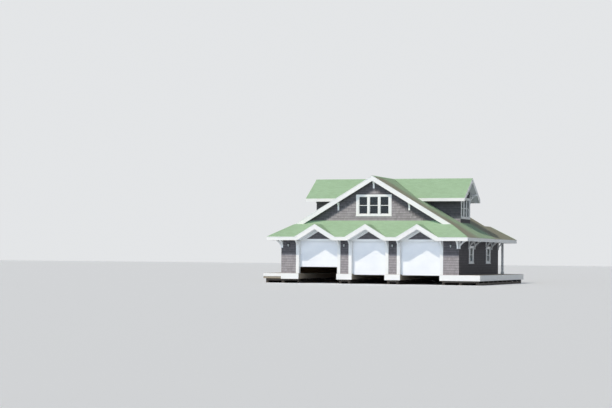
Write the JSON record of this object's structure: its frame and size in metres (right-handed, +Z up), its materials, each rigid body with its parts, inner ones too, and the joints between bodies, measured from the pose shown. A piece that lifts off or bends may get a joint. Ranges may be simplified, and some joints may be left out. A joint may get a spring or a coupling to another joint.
{
  "type": "boathouse",
  "caption": "Two-storey timber boathouse on cribs, with boat slips behind wide doors, gablets over the doors, a cross gable with dormers, bracketed eaves and a rear porch.",
  "frame": {"origin": "middle of the plan at the waterline, under the cribs", "axes": "+X to the right seen from the water, +Y from the water side to the land side, +Z up"},
  "size_m": [16.548, 15.83, 7.8968],
  "materials": {
    "wall_shingles": "sawn shingles in courses, weathered grey",
    "roof_shingles": "green mineral-faced roof shingles, matte",
    "flat_roofing": "matte roofing sheet",
    "white_trim": "white paint, satin",
    "door_panels": "white paint, satin",
    "deck_boards": "weathered boards",
    "floor_boards": "oiled boards",
    "crib_timber": "dark weathered timber",
    "window_glass": "clear, dark behind",
    "lamp_metal": "black paint, satin"
  },
  "bodies": {
    "root": {"crib_left": "crib_timber", "crib_right": "crib_timber", "crib_piers": "crib_timber", "crib_rear": "crib_timber", "deck_left": "deck_boards", "deck_right": "deck_boards", "finger_piers": "deck_boards", "deck_rear": "deck_boards", "deck_skirts": "white_trim", "front_piers": "wall_shingles", "front_wall_top": "wall_shingles", "left_wall": "wall_shingles", "right_wall": "wall_shingles", "rear_wall": "wall_shingles", "upper_floor": "floor_boards", "front_gable_wall": "wall_shingles", "rear_gable_wall": "wall_shingles", "left_dormer_walls": "wall_shingles", "right_dormer_walls": "wall_shingles", "main_roof_left": "roof_shingles", "main_roof_right": "roof_shingles", "front_pent_roof": "roof_shingles", "rear_pent_roof": "roof_shingles", "rear_flat_roof": "flat_roofing", "gablet_roofs": "roof_shingles", "left_dormer_roof": "roof_shingles", "right_dormer_roof": "roof_shingles", "ridge_caps": "roof_shingles", "eave_fascia": "white_trim", "gable_barge_boards": "white_trim", "gablet_barge_boards": "white_trim", "dormer_barge_boards": "white_trim", "eave_brackets": "white_trim", "front_brackets": "white_trim", "gable_brackets": "white_trim", "door_frames": "white_trim", "boat_door_left": "door_panels", "boat_door_middle": "door_panels", "boat_door_right": "door_panels", "rear_door": "white_trim", "gable_windows": "white_trim", "dormer_windows": "white_trim", "ground_windows": "white_trim", "upper_glass": "window_glass", "ground_glass": "window_glass", "porch_posts": "white_trim", "porch_beam": "white_trim", "wall_lanterns": "lamp_metal"}
  },
  "joints": []
}
